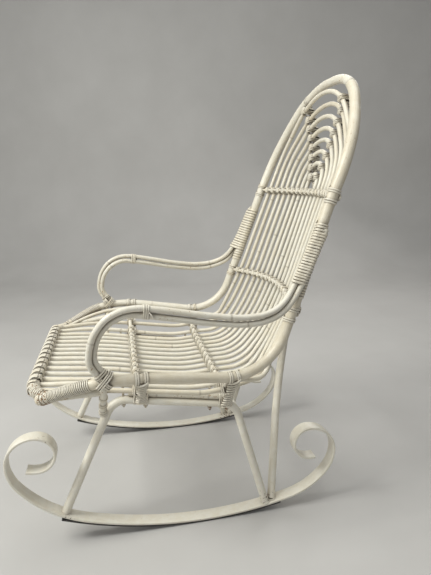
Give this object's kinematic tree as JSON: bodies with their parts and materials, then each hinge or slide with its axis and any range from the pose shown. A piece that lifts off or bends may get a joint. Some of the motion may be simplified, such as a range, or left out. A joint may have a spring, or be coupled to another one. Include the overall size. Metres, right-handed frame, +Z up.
{
  "type": "rocking chair",
  "caption": "Rattan rocking chair with nested rod seat and arched back, cane-bound arms, on a scrolled steel rocking base with rubber treads.",
  "frame": {"origin": "on the floor, under the middle of the bounding box", "axes": "+Z up, -Y the way the sitter faces, +X the sitter's left"},
  "size_m": [0.6188, 0.8067, 1.019],
  "materials": {
    "painted_steel": "aged cream-white paint, semi-gloss, small chips",
    "rubber": "matt black rubber strip",
    "painted_rattan": "aged cream-white paint over rattan, semi-gloss",
    "cane_binding": "aged cream-white paint over split cane",
    "fasteners": "painted with the frame"
  },
  "bodies": {
    "root": {"rocker_left": "painted_steel", "rubber_tread_left": "rubber", "side_hoop_left": "painted_steel", "rocker_right": "painted_steel", "rubber_tread_right": "rubber", "side_hoop_right": "painted_steel", "back_stay": "painted_steel", "cross_bar": "painted_steel", "rail_bolts": "fasteners", "rail_nuts": "fasteners", "frame_pole_left": "painted_rattan", "runner_left": "painted_rattan", "vee_carrier_left": "painted_rattan", "arm_upper_left": "painted_rattan", "arm_lower_left": "painted_rattan", "arm_strut_left": "painted_rattan", "frame_wrap_left": "cane_binding", "frame_pole_right": "painted_rattan", "runner_right": "painted_rattan", "vee_carrier_right": "painted_rattan", "arm_upper_right": "painted_rattan", "arm_lower_right": "painted_rattan", "arm_strut_right": "painted_rattan", "frame_wrap_right": "cane_binding", "top_arch": "painted_rattan", "seat_front_rail": "painted_rattan", "rod_loop_1": "painted_rattan", "rod_loop_2": "painted_rattan", "rod_loop_3": "painted_rattan", "rod_loop_4": "painted_rattan", "rod_loop_5": "painted_rattan", "rod_loop_6": "painted_rattan", "rod_loop_7": "painted_rattan", "rod_loop_8": "painted_rattan", "centre_rod": "painted_rattan", "upper_front_cane": "painted_rattan", "upper_back_cane": "painted_rattan", "lumbar_front_cane": "painted_rattan", "lumbar_back_cane": "painted_rattan", "mid_seat_bar": "painted_rattan", "rear_seat_bar": "painted_rattan", "upper_bar_lashings": "cane_binding", "lumbar_bar_lashings": "cane_binding", "mid_bar_lashings": "cane_binding", "rear_bar_lashings": "cane_binding", "frame_rings": "cane_binding", "arm_rings": "cane_binding", "arm_foot_ties": "cane_binding", "frame_collars": "cane_binding", "rail_strands": "cane_binding", "front_braid": "cane_binding", "side_windings": "cane_binding", "vee_wraps": "cane_binding", "arch_joint_ties": "cane_binding", "stay_ties": "cane_binding", "strut_bands": "cane_binding"}
  },
  "joints": []
}
